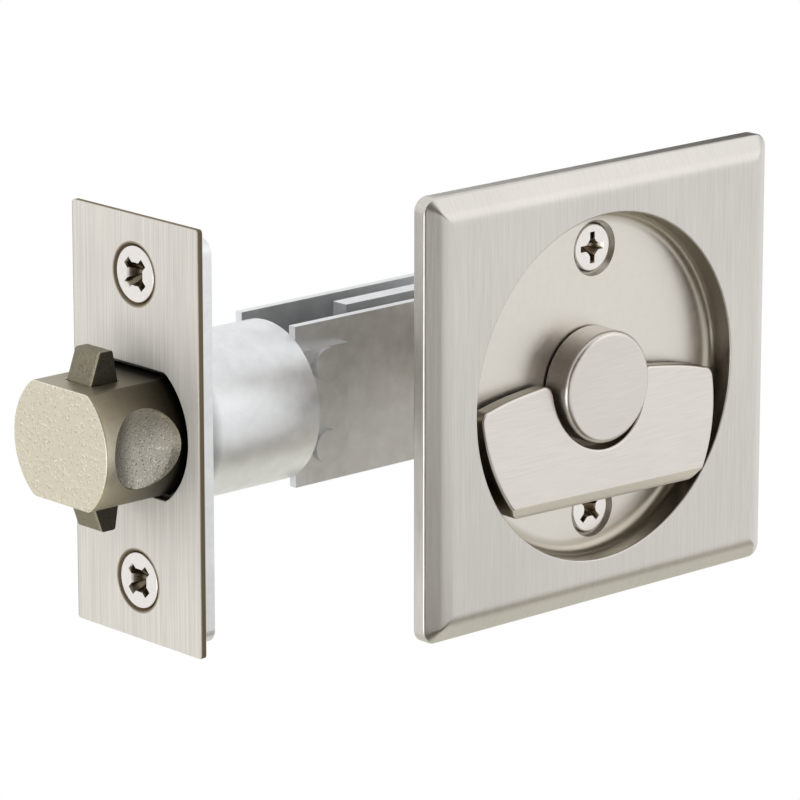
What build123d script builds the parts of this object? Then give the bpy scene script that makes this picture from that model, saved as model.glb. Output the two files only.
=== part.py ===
from build123d import *

import os
from math import cos, radians, sin, sqrt, tan

os.makedirs("parts", exist_ok=True)

# Pocket door lock. The origin is on the spindle axis, on the door face that the flush plate lies against.
# +X runs from the bolt to the spindle, +Y runs into the door, +Z is up. All sizes are in millimetres.

# Door that the lock is bored for
backset = 60.3
door_thickness = 44.45
latch_y = door_thickness / 2

# Flush plate and its cup
plate_width = 63.5
plate_height = 60.3
plate_corner = 2.0
plate_edge = 2.0
bevel_width = 2.85
bevel_depth = 1.8
flat_corner = 0.5
ridge_radius = 0.6
recess_diameter = 47.6
recess_depth = 4.2
recess_floor_fillet = 1.6
recess_rim_radius = 0.25
radius_tolerance = 0.001
cup_wall = 1.8
cup_floor = 1.7

# Screws: seats are cones, heads lie a little below the surface
countersink_angle = 82
cup_screw_spacing = 36.4
cup_screw_offset = 1.5
cup_seat_diameter = 7.8
cup_shank_diameter = 4.2
cup_screw_length = 24.0
plate_screw_spacing = 41.3
plate_seat_diameter = 8.7
plate_shank_diameter = 4.0
plate_screw_length = 12.0
head_sink = 0.45
seat_clearance = 0.05
cross_length = 4.0
cross_width = 1.0
cross_depth = 1.3
cross_draft_angle = 12
point_tip_diameter = 0.8

# Thumb turn
wing_radius = 21.7
wing_drop = 1.8
wing_tilt = 1.3
wing_crown = 1.6
wing_shoulder = -0.6
wing_foot = -15.6
wing_corner = 1.2
wing_floor_gap = 0.8
wing_below_front = 1.45
wing_rise_angle = 10.5
wing_bevel_height = 1.8
wing_bevel_angle = 34
wing_edge_radius = 0.4
knob_diameter = 15.2
knob_proud = 0.5
knob_edge_radius = 0.9
knob_groove = 1.1
turn_disc_thickness = 1.2
floor_clearance = 0.3

# Spindle, its bushing and clip
spindle_square = 5.0
socket_clearance = 0.03
journal_diameter = 8.0
running_clearance = 0.05
bushing_wall = 1.2
flange_width = 1.9
flange_thickness = 0.9
washer_thickness = 0.4
washer_width = 1.9
clip_thickness = 0.5
clip_width = 2.2
clip_gap_angle = 50
clip_clearance = 0.1
groove_diameter = 7.2
knob_socket_depth = 2.0
spindle_overrun = 7.5

# Face plate and backing plate
face_width = 25.4
face_height = 57.15
face_thickness = 0.95
face_corner = 0.4
face_hole_gap = 0.8
backing_width = 25.0
backing_height = 54.0
backing_thickness = 1.6
backing_corner = 2.0

# Bolt
bolt_throw = 12.7
bolt_diameter = 19.2
bolt_flat = 7.8
bolt_length = 25.0
bolt_edge_radius = 0.5
bolt_travel = 7.4
slide_clearance = 0.2
dimple_diameter = 10.5
dimple_setback = 7.2
dimple_wall = 6.95
dimple_dish = 1.0
bolt_pin_diameter = 3.0
bolt_pin_inset = 0.4
bolt_pin_setback = 3.0

# Claws
claw_setback = 3.3
claw_width = 5.2
claw_base = 4.4
claw_tip = 2.1
claw_rear_lean = 0.75
claw_height = 4.2
claw_travel = 4.6
claw_meeting_gap = 0.3
claw_edge_radius = 0.3
leg_thickness = 1.25
leg_reach = 8.3
leg_top = 6.4
leg_foot = -1.0
claw_clearance = 0.12
inner_clearance = 0.25
follower_diameter = 1.8
follower_inset = 1.6
follower_rise = 3.3

# Tail: cheeks inside the bolt, a cross bar and a strap to the crank
cheek_thickness = 1.0
cheek_half_height = 4.85
cheek_margin = 0.6
bar_gap = 1.8
bar_thickness = 2.0
strap_thickness = 2.6
strap_half_height = 3.2
pin_slot_clearance = 0.1
post_width = 6.0
post_hub_gap = 2.4
beam_top = 11.0
beam_hub_gap = 0.55
crank_slack = 0.4
beam_end_wall = 2.0

# Latch tube and hub case
tube_wall = 1.1
tube_rear_gap = 1.1
tube_rear_wall = 1.5
strap_window = 0.8
ear_length = 8.0
ear_thickness = 1.5
ear_half_height = 7.9
case_inside = 9.6
case_plate_thickness = 1.2
case_proud = 0.1
case_rear = 13.0
case_corner = 4.0
rivet_shoulder_diameter = 4.0
rivet_shank_diameter = 2.6
rivet_head_diameter = 4.6
rivet_head_height = 0.8
rivet_front_z = 5.6
rivet_lower_z = -7.6
rivet_middle_x = -14.0
rivet_rear_x = 9.0

# Hub
hub_journal_diameter = 10.8
hub_barrel_diameter = 8.8
hub_collar_diameter = 13.0
hub_collar_thickness = 1.0
hub_end_clearance = 0.3
hub_overrun = 0.4
arm_thickness = 3.0
arm_end_radius = 2.4
crank_pin_diameter = 2.2
crank_pin_overrun = 0.3

# Places that follow from the sizes above
plate_front = plate_edge + bevel_depth
floor_y = recess_depth - plate_front
cup_back_y = floor_y + cup_floor
recess_radius = recess_diameter / 2
sink_slope = tan(radians(countersink_angle / 2))
wing_front = plate_front - wing_below_front
wing_back_y = floor_y - wing_floor_gap
disc_back_y = floor_y - floor_clearance
disc_front = turn_disc_thickness - disc_back_y
knob_front = plate_front + knob_proud
bushing_radius = journal_diameter / 2 + running_clearance + bushing_wall
flange_back_y = cup_back_y + flange_thickness
washer_back_y = flange_back_y + washer_thickness
clip_front_y = washer_back_y + clip_clearance
journal_back_y = clip_front_y + clip_thickness + 2 * clip_clearance
face_back_x = face_thickness - backset
bolt_front_x = -backset - bolt_throw
bolt_radius = bolt_diameter / 2
tail_travel = bolt_travel + claw_travel
crank_offset = tail_travel / 2
crank_radius = crank_offset * sqrt(2)
claw_inner = claw_travel + claw_meeting_gap / 2
claw_rear = claw_setback + claw_base
leg_inside = claw_width / 2 + inner_clearance
leg_outside = leg_inside + leg_thickness
leg_rear = claw_setback + leg_reach
leg_front = claw_setback + 2 * claw_clearance
cheek_inside = leg_outside + inner_clearance
cheek_outside = cheek_inside + cheek_thickness
follower_setback = leg_rear - follower_inset
follower_slot = follower_diameter + 2 * running_clearance
cheek_front = follower_setback - claw_travel - follower_slot / 2 - cheek_margin
bar_front = leg_rear + bar_gap
bolt_pin_u = bolt_length - bolt_pin_setback
cavity_front = claw_setback + claw_clearance
tube_radius = bolt_radius + slide_clearance + tube_wall
tube_inside_end = bolt_front_x + bolt_length + bolt_travel + tube_rear_gap
case_front_x = tube_inside_end + tube_rear_wall
case_half_height = tube_radius + case_proud
case_inner = case_inside / 2
case_outer = case_inner + case_plate_thickness
hub_hole_radius = hub_journal_diameter / 2 + running_clearance
beam_bottom = hub_barrel_diameter / 2 + beam_hub_gap
post_rear_x = -tail_travel - hub_barrel_diameter / 2 - post_hub_gap
post_front_x = post_rear_x - post_width
ear_rivets = [(case_front_x + ear_length / 2, side * rivet_front_z) for side in (1, -1)]
rear_rivets = [(rivet_middle_x, rivet_lower_z), (rivet_rear_x, rivet_lower_z)]

# Planes of the latch: across the bolt at its front, across the face plate at its front
bolt_face = Plane(origin=(bolt_front_x, latch_y, 0), x_dir=(0, 1, 0), z_dir=(1, 0, 0))
plate_face = Plane(origin=(-backset, latch_y, 0), x_dir=(0, 1, 0), z_dir=(1, 0, 0))


def side_plane(offset):
    """The upright plane along the latch, this far into the door from the latch's centre line."""
    return Plane.XZ.offset(-latch_y - offset)


def screw_seat(origin, outward, turn):
    """A plane at a screw's seat: Z points out of the seat, and X lies along one arm of the cross recess."""
    up = Vector(0, 0, 1)
    across = Vector(outward).cross(up)
    arm = across * cos(radians(turn)) + up * sin(radians(turn))
    return Plane(origin=origin, x_dir=arm, z_dir=outward)


def bolt_outline(gap):
    """The bolt's section, grown by a gap: a circle cut flat at top and bottom."""
    Circle(bolt_radius + gap)
    Rectangle(2 * bolt_diameter, 2 * (bolt_flat + gap), mode=Mode.INTERSECT)


def make_screws(seats, seat_diameter, shank_diameter, length, pointed):
    """Flat-head screws, one at each seat, with a cross recess and a plain or pointed shank."""
    head_radius = seat_diameter / 2 - head_sink * sink_slope - seat_clearance
    head_height = (head_radius - shank_diameter / 2) / sink_slope
    tops = [seat.offset(-head_sink) for seat in seats]
    point_height = shank_diameter if pointed else 0
    shank_height = length - head_sink - head_height - point_height
    hang = (Align.CENTER, Align.CENTER, Align.MAX)
    with BuildPart(*tops) as screws:
        Cone(shank_diameter / 2, head_radius, head_height, align=hang)
        with Locations((0, 0, -head_height)):
            Cylinder(shank_diameter / 2, shank_height, align=hang)
        if pointed:
            with Locations((0, 0, -head_height - shank_height)):
                Cone(point_tip_diameter / 2, shank_diameter / 2, point_height, align=hang)
        with BuildSketch(*tops):
            Rectangle(cross_length, cross_width)
            Rectangle(cross_width, cross_length)
        extrude(amount=-cross_depth, taper=cross_draft_angle, mode=Mode.SUBTRACT)
    return screws


# Seats of the screws
cup_seats = [
    screw_seat((cup_screw_offset, floor_y, cup_screw_spacing / 2), (0, -1, 0), 0),
    screw_seat((cup_screw_offset, floor_y, -cup_screw_spacing / 2), (0, -1, 0), 45),
]
plate_seats = [
    screw_seat((-backset, latch_y, side * plate_screw_spacing / 2), (-1, 0, 0), 45) for side in (1, -1)
]

# Flush plate: a bevelled rectangle with a round cup sunk through it, cast in one piece
with BuildPart() as flush_plate:
    with BuildSketch(Plane.XZ):
        RectangleRounded(plate_width, plate_height, plate_corner)
    extrude(amount=plate_edge)
    with BuildSketch(Plane.XZ.offset(plate_edge)):
        RectangleRounded(plate_width, plate_height, plate_corner)
    with BuildSketch(Plane.XZ.offset(plate_front)):
        RectangleRounded(plate_width - 2 * bevel_width, plate_height - 2 * bevel_width, flat_corner)
    loft(ruled=True)
    flat_edges = flush_plate.faces().sort_by(Axis.Y)[0].edges()
    fillet(flat_edges, ridge_radius)
    with BuildSketch(Plane.XZ):
        Circle(recess_radius + cup_wall)
    extrude(amount=-cup_back_y)
    with BuildSketch(Plane.XZ.offset(plate_front)):
        Circle(recess_radius)
    extrude(amount=-recess_depth, mode=Mode.SUBTRACT)
    recess_edges = flush_plate.edges().filter_by(GeomType.CIRCLE)
    recess_edges = recess_edges.filter_by(lambda edge: abs(edge.radius - recess_radius) < radius_tolerance)
    fillet(recess_edges.sort_by(Axis.Y)[-1], recess_floor_fillet)
    fillet(recess_edges.sort_by(Axis.Y)[0], recess_rim_radius)
    with Locations(Plane.XZ.offset(-floor_y)):
        Hole(bushing_radius, depth=cup_floor)
    with Locations(*cup_seats):
        CounterSinkHole(
            cup_shank_diameter / 2 + seat_clearance,
            cup_seat_diameter / 2,
            depth=cup_floor,
            counter_sink_angle=countersink_angle,
        )
flush_plate.part.label = "flush_plate"

# Cup screws: machine screws that clamp the plate to the far side of the door
cup_screws = make_screws(cup_seats, cup_seat_diameter, cup_shank_diameter, cup_screw_length, False)
cup_screws.part.label = "cup_screws"

# Bushing: a flanged sleeve pressed into the cup floor
with BuildPart() as turn_bushing:
    with BuildSketch(Plane.XZ.offset(-floor_y)):
        Circle(bushing_radius)
    extrude(amount=floor_y - flange_back_y)
    with BuildSketch(Plane.XZ.offset(-cup_back_y)):
        Circle(bushing_radius + flange_width)
    extrude(amount=-flange_thickness)
    with Locations(Plane.XZ.offset(-floor_y)):
        Hole(journal_diameter / 2 + running_clearance)
turn_bushing.part.label = "turn_bushing"

# Thrust washer behind the bushing's flange
with BuildPart() as thrust_washer:
    with BuildSketch(Plane.XZ.offset(-flange_back_y)):
        Circle(journal_diameter / 2 + inner_clearance + washer_width)
        Circle(journal_diameter / 2 + inner_clearance, mode=Mode.SUBTRACT)
    extrude(amount=-washer_thickness)
thrust_washer.part.label = "thrust_washer"

# Retaining clip: an open ring in the journal's groove
with BuildPart() as retaining_clip:
    with BuildSketch(Plane.XZ.offset(-clip_front_y)):
        Circle(groove_diameter / 2 + clip_width)
        Circle(groove_diameter / 2 + socket_clearance, mode=Mode.SUBTRACT)
        with BuildLine():
            gap_reach = 2 * (groove_diameter + clip_width)
            gap_side = gap_reach * tan(radians(clip_gap_angle / 2))
            Polyline((0, 0), (gap_side, gap_reach), (-gap_side, gap_reach), close=True)
        make_face(mode=Mode.SUBTRACT)
    extrude(amount=-clip_thickness)
retaining_clip.part.label = "retaining_clip"

# Flag: a fan whose flanks are arcs about a point below the spindle, its face rising to a bevelled foot
with BuildPart() as flag:
    shoulder_x = sqrt(wing_radius**2 - (wing_shoulder + wing_drop) ** 2)
    foot_x = sqrt(wing_radius**2 - (wing_foot + wing_drop) ** 2)
    flank_z = (wing_shoulder + wing_foot) / 2
    flank_x = sqrt(wing_radius**2 - (flank_z + wing_drop) ** 2)
    with BuildSketch(Plane.XZ.offset(-wing_back_y)):
        with BuildLine():
            ThreePointArc((-shoulder_x, wing_shoulder), (0, wing_crown), (shoulder_x, wing_shoulder))
            ThreePointArc((shoulder_x, wing_shoulder), (flank_x, flank_z), (foot_x, wing_foot))
            Line((foot_x, wing_foot), (-foot_x, wing_foot))
            ThreePointArc((-foot_x, wing_foot), (-flank_x, flank_z), (-shoulder_x, wing_shoulder))
        fan = make_face()
        fillet(fan.vertices(), wing_corner)
    extrude(amount=wing_back_y + 2 * plate_front)
    rise = radians(wing_rise_angle)
    lean = radians(wing_bevel_angle)
    bevel_z = wing_foot + wing_bevel_height
    bevel_y = bevel_z * tan(rise) - wing_front
    split(bisect_by=Plane((0, -wing_front, 0), z_dir=(0, -cos(rise), sin(rise))), keep=Keep.BOTTOM)
    split(bisect_by=Plane((0, bevel_y, bevel_z), z_dir=(0, -cos(lean), -sin(lean))), keep=Keep.BOTTOM)
    flag_face = flag.faces().sort_by(SortBy.AREA)[-2]
    fillet(flag_face.edges(), wing_edge_radius)
    with BuildSketch(Plane.XZ.offset(disc_front)):
        Circle(knob_diameter / 2 + knob_groove)
    extrude(amount=2 * plate_front, mode=Mode.SUBTRACT)

# Wing: the flag hung a little off level, on a disc under the knob with a square hole for the spindle
with BuildPart() as turn_wing:
    add(flag.part, rotation=(0, wing_tilt, 0))
    with BuildSketch(Plane.XZ.offset(-disc_back_y)):
        Circle(knob_diameter / 2)
    extrude(amount=turn_disc_thickness)
    with BuildSketch(Plane.XZ.offset(-disc_back_y)):
        Rectangle(spindle_square + 2 * socket_clearance, spindle_square + 2 * socket_clearance)
    extrude(amount=turn_disc_thickness, mode=Mode.SUBTRACT)
turn_wing.part.label = "turn_wing"

# Knob: a turned button that seats on the wing's disc
with BuildPart() as turn_knob:
    with BuildSketch(Plane.XZ.offset(disc_front)):
        Circle(knob_diameter / 2)
    extrude(amount=knob_front - disc_front)
    fillet(turn_knob.faces().sort_by(Axis.Y)[0].edges(), knob_edge_radius)
    with BuildSketch(Plane.XZ.offset(disc_front)):
        Rectangle(spindle_square + 2 * socket_clearance, spindle_square + 2 * socket_clearance)
    extrude(amount=knob_socket_depth, mode=Mode.SUBTRACT)
turn_knob.part.label = "turn_knob"

# Spindle: a square bar with a round, grooved journal behind the cup floor
with BuildPart() as spindle:
    spindle_end_y = latch_y + spindle_overrun
    with BuildSketch(Plane.XZ.offset(disc_front + knob_socket_depth - socket_clearance)):
        Rectangle(spindle_square, spindle_square)
    extrude(amount=-spindle_end_y - disc_front - knob_socket_depth)
    with BuildSketch(Plane.XZ.offset(-disc_back_y)):
        Circle(journal_diameter / 2)
    extrude(amount=disc_back_y - journal_back_y)
    with BuildSketch(Plane.XZ.offset(clip_clearance / 2 - clip_front_y)):
        Circle(journal_diameter)
        Circle(groove_diameter / 2, mode=Mode.SUBTRACT)
    extrude(amount=-clip_thickness - clip_clearance, mode=Mode.SUBTRACT)
spindle.part.label = "spindle"

# Face plate: thin brushed plate on the door edge, with a clearance hole in the bolt's shape
with BuildPart() as face_plate:
    with BuildSketch(plate_face):
        RectangleRounded(face_width, face_height, face_corner)
    extrude(amount=face_thickness)
    with BuildSketch(plate_face):
        bolt_outline(face_hole_gap)
    extrude(amount=face_thickness, mode=Mode.SUBTRACT)
    with Locations(*plate_seats):
        CounterSinkHole(
            plate_shank_diameter / 2 + seat_clearance,
            plate_seat_diameter / 2,
            depth=face_thickness,
            counter_sink_angle=countersink_angle,
        )
face_plate.part.label = "face_plate"

# Backing plate: behind the face plate, bored for the tube, takes the screws
with BuildPart() as backing_plate:
    with BuildSketch(plate_face.offset(face_thickness)):
        RectangleRounded(backing_width, backing_height, backing_corner)
    extrude(amount=backing_thickness)
    with BuildSketch(plate_face.offset(face_thickness)):
        Circle(tube_radius + seat_clearance)
    extrude(amount=backing_thickness, mode=Mode.SUBTRACT)
    with Locations(*plate_seats):
        CounterSinkHole(
            plate_shank_diameter / 2 + seat_clearance,
            plate_seat_diameter / 2,
            depth=face_thickness + backing_thickness,
            counter_sink_angle=countersink_angle,
        )
backing_plate.part.label = "backing_plate"

# Face plate screws: short wood screws into the door edge
face_plate_screws = make_screws(
    plate_seats, plate_seat_diameter, plate_shank_diameter, plate_screw_length, True
)
face_plate_screws.part.label = "face_plate_screws"

# Latch tube: round body, its mouth guides the bolt's flats, two ears on its windowed rear wall
with BuildPart() as latch_tube:
    tube_length = case_front_x - face_back_x
    tube_mouth = plate_face.offset(face_thickness)
    with BuildSketch(tube_mouth):
        Circle(tube_radius)
    extrude(amount=tube_length)
    with BuildSketch(tube_mouth.offset(backing_thickness)):
        Circle(tube_radius - tube_wall)
    extrude(amount=tube_length - backing_thickness - tube_rear_wall, mode=Mode.SUBTRACT)
    with BuildSketch(tube_mouth):
        bolt_outline(slide_clearance)
    extrude(amount=backing_thickness, mode=Mode.SUBTRACT)
    with BuildSketch(tube_mouth):
        Rectangle(strap_thickness + 2 * strap_window, 2 * (strap_half_height + strap_window))
    extrude(amount=tube_length, mode=Mode.SUBTRACT)
    for side in (1, -1):
        with BuildSketch(tube_mouth.offset(tube_length)):
            with Locations((side * (case_outer + ear_thickness / 2), 0)):
                Rectangle(ear_thickness, 2 * ear_half_height)
        extrude(amount=ear_length)
    with Locations(side_plane(-tube_radius)):
        with Locations(*ear_rivets):
            Hole(rivet_shank_diameter / 2)
latch_tube.part.label = "latch_tube"


def make_case_side(side):
    """One side plate of the hub case, bored for the hub's journal and the rivets."""
    with BuildPart() as case_side:
        with BuildSketch(side_plane(side * (case_inner + case_plate_thickness / 2))):
            with Locations(((case_front_x + case_rear) / 2, 0)):
                Rectangle(case_rear - case_front_x, 2 * case_half_height)
        extrude(amount=case_plate_thickness / 2, both=True)
        upright_edges = case_side.edges().filter_by(Axis.Y).sort_by(Axis.X)
        fillet(upright_edges[-2:], case_corner)
        with Locations(side_plane(side * case_inner)):
            Hole(hub_hole_radius)
            with Locations(*ear_rivets, *rear_rivets):
                Hole(rivet_shank_diameter / 2)
    return case_side


# Hub case: two side plates between the tube's ears
case_side_near = make_case_side(-1)
case_side_near.part.label = "case_side_near"
case_side_far = make_case_side(1)
case_side_far.part.label = "case_side_far"

# Case rivets: shouldered, the front pair through the tube's ears
with BuildPart() as case_rivets:
    for place in ear_rivets + rear_rivets:
        grip = case_outer + ear_thickness if place in ear_rivets else case_outer
        with BuildSketch(side_plane(0)):
            with Locations(place):
                Circle(rivet_shoulder_diameter / 2)
        extrude(amount=case_inner, both=True)
        with BuildSketch(side_plane(0)):
            with Locations(place):
                Circle(rivet_shank_diameter / 2)
        extrude(amount=grip, both=True)
        for side in (1, -1):
            with BuildSketch(side_plane(side * (grip + rivet_head_height / 2))):
                with Locations(place):
                    Circle(rivet_head_diameter / 2)
            extrude(amount=rivet_head_height / 2, both=True)
case_rivets.part.label = "case_rivets"

# Hub: journals in both side plates, a square hole for the spindle and a crank arm
with BuildPart() as hub:
    hub_half = case_outer + hub_overrun
    arm_back = case_inner - hub_end_clearance
    with BuildSketch(side_plane(0)):
        Circle(hub_barrel_diameter / 2)
    extrude(amount=arm_back, both=True)
    for side in (1, -1):
        with BuildSketch(side_plane(side * (arm_back + hub_half) / 2)):
            Circle(hub_journal_diameter / 2)
        extrude(amount=(hub_half - arm_back) / 2, both=True)
    with BuildSketch(side_plane(hub_collar_thickness - arm_back)):
        Circle(hub_collar_diameter / 2)
    extrude(amount=hub_collar_thickness)
    with BuildSketch(side_plane(arm_back)):
        with BuildLine():
            reach = crank_offset
            swing = arm_end_radius / sqrt(2)
            root = hub_collar_diameter / 2 / sqrt(2)
            Line((-root, -root), (-reach - swing, reach - swing))
            ThreePointArc(
                (-reach - swing, reach - swing),
                (-reach - swing, reach + swing),
                (-reach + swing, reach + swing),
            )
            Line((-reach + swing, reach + swing), (root, root))
            ThreePointArc((root, root), (root, -root), (-root, -root))
        make_face()
    extrude(amount=arm_thickness)
    with Locations(side_plane(arm_back)):
        with Locations((-crank_offset, crank_offset)):
            Hole(crank_pin_diameter / 2, depth=arm_thickness)
    with BuildSketch(side_plane(0)):
        Rectangle(spindle_square + 2 * socket_clearance, spindle_square + 2 * socket_clearance)
    extrude(amount=hub_half, both=True, mode=Mode.SUBTRACT)
hub.part.label = "hub"

# Crank pin: pressed into the arm, runs in the tail's slot
with BuildPart() as crank_pin:
    with BuildSketch(side_plane(arm_back)):
        with Locations((-crank_offset, crank_offset)):
            Circle(crank_pin_diameter / 2)
    extrude(amount=arm_back + strap_thickness / 2 + crank_pin_overrun)
crank_pin.part.label = "crank_pin"

# Tail: two slotted cheeks inside the bolt, a cross bar, a strap, and an open slot over the crank pin
with BuildPart() as tail_fork:
    strap_front_x = bolt_front_x + bar_front
    beam_rear_x = -crank_offset + crank_pin_diameter / 2 + crank_slack + beam_end_wall
    slot_half = crank_pin_diameter / 2 + crank_slack
    with BuildSketch(side_plane(0)):
        with BuildLine():
            Polyline(
                (strap_front_x, -strap_half_height),
                (post_rear_x, -strap_half_height),
                (post_rear_x, beam_bottom),
                (beam_rear_x, beam_bottom),
                (beam_rear_x, beam_top),
                (post_front_x, beam_top),
                (post_front_x, strap_half_height),
                (strap_front_x, strap_half_height),
                close=True,
            )
        make_face()
        slot_top = crank_radius + slot_half
        with Locations((-crank_offset, slot_top / 2)):
            SlotOverall(slot_top, 2 * slot_half, rotation=90, mode=Mode.SUBTRACT)
        with Locations((bolt_front_x + bolt_pin_u - claw_travel / 2, 0)):
            SlotCenterToCenter(
                claw_travel, bolt_pin_diameter + 2 * pin_slot_clearance, mode=Mode.SUBTRACT
            )
    extrude(amount=strap_thickness / 2, both=True)
    with BuildSketch(bolt_face.offset(bar_front)):
        Rectangle(2 * cheek_outside, 2 * cheek_half_height)
    extrude(amount=bar_thickness)
    cheek_length = bar_front - cheek_front
    slot_centre_u = follower_setback - claw_travel / 2
    for side in (1, -1):
        with BuildSketch(side_plane(side * (cheek_inside + cheek_outside) / 2)):
            with Locations((bolt_front_x + cheek_front + cheek_length / 2, 0)):
                Rectangle(cheek_length, 2 * cheek_half_height)
            with Locations((bolt_front_x + slot_centre_u, side * (follower_rise - claw_travel / 2))):
                SlotCenterToCenter(
                    claw_travel * sqrt(2), follower_slot, rotation=side * 45, mode=Mode.SUBTRACT
                )
        extrude(amount=cheek_thickness / 2, both=True)
tail_fork.part.label = "tail_fork"

# Dimple: a dished round hollow for a finger, to be cut from each side of the bolt
with BuildPart() as dimple:
    dish_radius = ((dimple_diameter / 2) ** 2 + dimple_dish**2) / (2 * dimple_dish)
    with BuildSketch(Plane.XY):
        Circle(dimple_diameter / 2)
    extrude(amount=bolt_radius)
    with Locations((0, 0, dish_radius)):
        Sphere(dish_radius, mode=Mode.INTERSECT)

# Bolt: cast, flat at top and bottom, hollow for the tail and the claws, dimpled on both sides
with BuildPart() as bolt:
    with BuildSketch(bolt_face):
        bolt_outline(0)
    extrude(amount=bolt_length)
    fillet(bolt.faces().sort_by(Axis.X)[0].edges(), bolt_edge_radius)
    with BuildSketch(bolt_face.offset(cavity_front)):
        Rectangle(2 * (cheek_outside + claw_clearance), 2 * (cheek_half_height + claw_clearance))
    extrude(amount=bolt_length, mode=Mode.SUBTRACT)
    with BuildSketch(bolt_face.offset(cavity_front)):
        Rectangle(2 * (leg_outside + claw_clearance), 2 * (leg_top + claw_clearance))
    extrude(amount=leg_rear + inner_clearance - cavity_front, mode=Mode.SUBTRACT)
    with BuildSketch(bolt_face.offset(claw_setback - claw_clearance)):
        Rectangle(claw_width + 2 * claw_clearance, bolt_diameter)
    extrude(amount=claw_base + 2 * claw_clearance, mode=Mode.SUBTRACT)
    for side in (1, -1):
        dimple_seat = Plane(
            origin=(bolt_front_x + dimple_setback, latch_y + side * dimple_wall, 0), z_dir=(0, side, 0)
        )
        add(dimple_seat * dimple.part, mode=Mode.SUBTRACT)
    with Locations(side_plane(-bolt_radius)):
        with Locations((bolt_front_x + bolt_pin_u, 0)):
            Hole(bolt_pin_diameter / 2)
bolt.part.label = "bolt"

# Bolt pin: crosses the bolt behind the cross bar
with BuildPart() as bolt_pin:
    with BuildSketch(side_plane(0)):
        with Locations((bolt_front_x + bolt_pin_u, 0)):
            Circle(bolt_pin_diameter / 2)
    extrude(amount=bolt_radius - bolt_pin_inset, both=True)
bolt_pin.part.label = "bolt_pin"


def make_claw(side):
    """A claw above (1) or below (-1): a leaning head in the bolt's window, with a leg for the follower."""
    with BuildPart() as claw:
        tip_front = claw_rear - claw_rear_lean - claw_tip
        head_points = [
            (claw_setback, claw_inner),
            (claw_setback, bolt_flat),
            (tip_front, bolt_flat + claw_height),
            (claw_rear - claw_rear_lean, bolt_flat + claw_height),
            (claw_rear, bolt_flat),
            (claw_rear, claw_inner),
        ]
        with BuildSketch(side_plane(0)):
            with BuildLine():
                Polyline(*[(bolt_front_x + u, side * z) for u, z in head_points], close=True)
            make_face()
        extrude(amount=claw_width / 2, both=True)
        tip_edges = claw.faces().sort_by(Axis.Z)[-1 if side > 0 else 0].edges()
        fillet(tip_edges, claw_edge_radius)
        with BuildSketch(side_plane(side * (leg_inside + leg_outside) / 2)):
            with Locations(
                (bolt_front_x + (leg_front + leg_rear) / 2, side * (leg_foot + leg_top) / 2)
            ):
                Rectangle(leg_rear - leg_front, leg_top - leg_foot)
        extrude(amount=leg_thickness / 2, both=True)
        with BuildSketch(side_plane(side * leg_outside / 2)):
            with Locations(
                (bolt_front_x + (leg_front + claw_rear) / 2, side * (claw_inner + leg_top) / 2)
            ):
                Rectangle(claw_rear - leg_front, leg_top - claw_inner)
        extrude(amount=leg_outside / 2, both=True)
        with Locations(side_plane(0)):
            with Locations((bolt_front_x + follower_setback, side * follower_rise)):
                Hole(follower_diameter / 2)
    return claw


def make_follower(side):
    """The pin in a claw's leg that runs in the slanted slot of the cheek beside it."""
    with BuildPart() as follower:
        follower_length = cheek_outside - leg_inside
        with BuildSketch(side_plane(side * (leg_inside + cheek_outside) / 2)):
            with Locations((bolt_front_x + follower_setback, side * follower_rise)):
                Circle(follower_diameter / 2)
        extrude(amount=follower_length / 2, both=True)
    return follower


# Claws and their followers: the lower pair is the upper pair turned half round the bolt's axis
upper_claw = make_claw(1)
upper_claw.part.label = "upper_claw"
upper_claw_pin = make_follower(1)
upper_claw_pin.part.label = "upper_claw_pin"
lower_claw = make_claw(-1)
lower_claw.part.label = "lower_claw"
lower_claw_pin = make_follower(-1)
lower_claw_pin.part.label = "lower_claw_pin"

export_step(flush_plate.part, "parts/flush_plate.step")
export_step(cup_screws.part, "parts/cup_screws.step")
export_step(turn_bushing.part, "parts/turn_bushing.step")
export_step(thrust_washer.part, "parts/thrust_washer.step")
export_step(retaining_clip.part, "parts/retaining_clip.step")
export_step(turn_wing.part, "parts/turn_wing.step")
export_step(turn_knob.part, "parts/turn_knob.step")
export_step(spindle.part, "parts/spindle.step")
export_step(face_plate.part, "parts/face_plate.step")
export_step(backing_plate.part, "parts/backing_plate.step")
export_step(face_plate_screws.part, "parts/face_plate_screws.step")
export_step(latch_tube.part, "parts/latch_tube.step")
export_step(case_side_near.part, "parts/case_side_near.step")
export_step(case_side_far.part, "parts/case_side_far.step")
export_step(case_rivets.part, "parts/case_rivets.step")
export_step(hub.part, "parts/hub.step")
export_step(crank_pin.part, "parts/crank_pin.step")
export_step(tail_fork.part, "parts/tail_fork.step")
export_step(bolt.part, "parts/bolt.step")
export_step(bolt_pin.part, "parts/bolt_pin.step")
export_step(upper_claw.part, "parts/upper_claw.step")
export_step(upper_claw_pin.part, "parts/upper_claw_pin.step")
export_step(lower_claw.part, "parts/lower_claw.step")
export_step(lower_claw_pin.part, "parts/lower_claw_pin.step")
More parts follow.
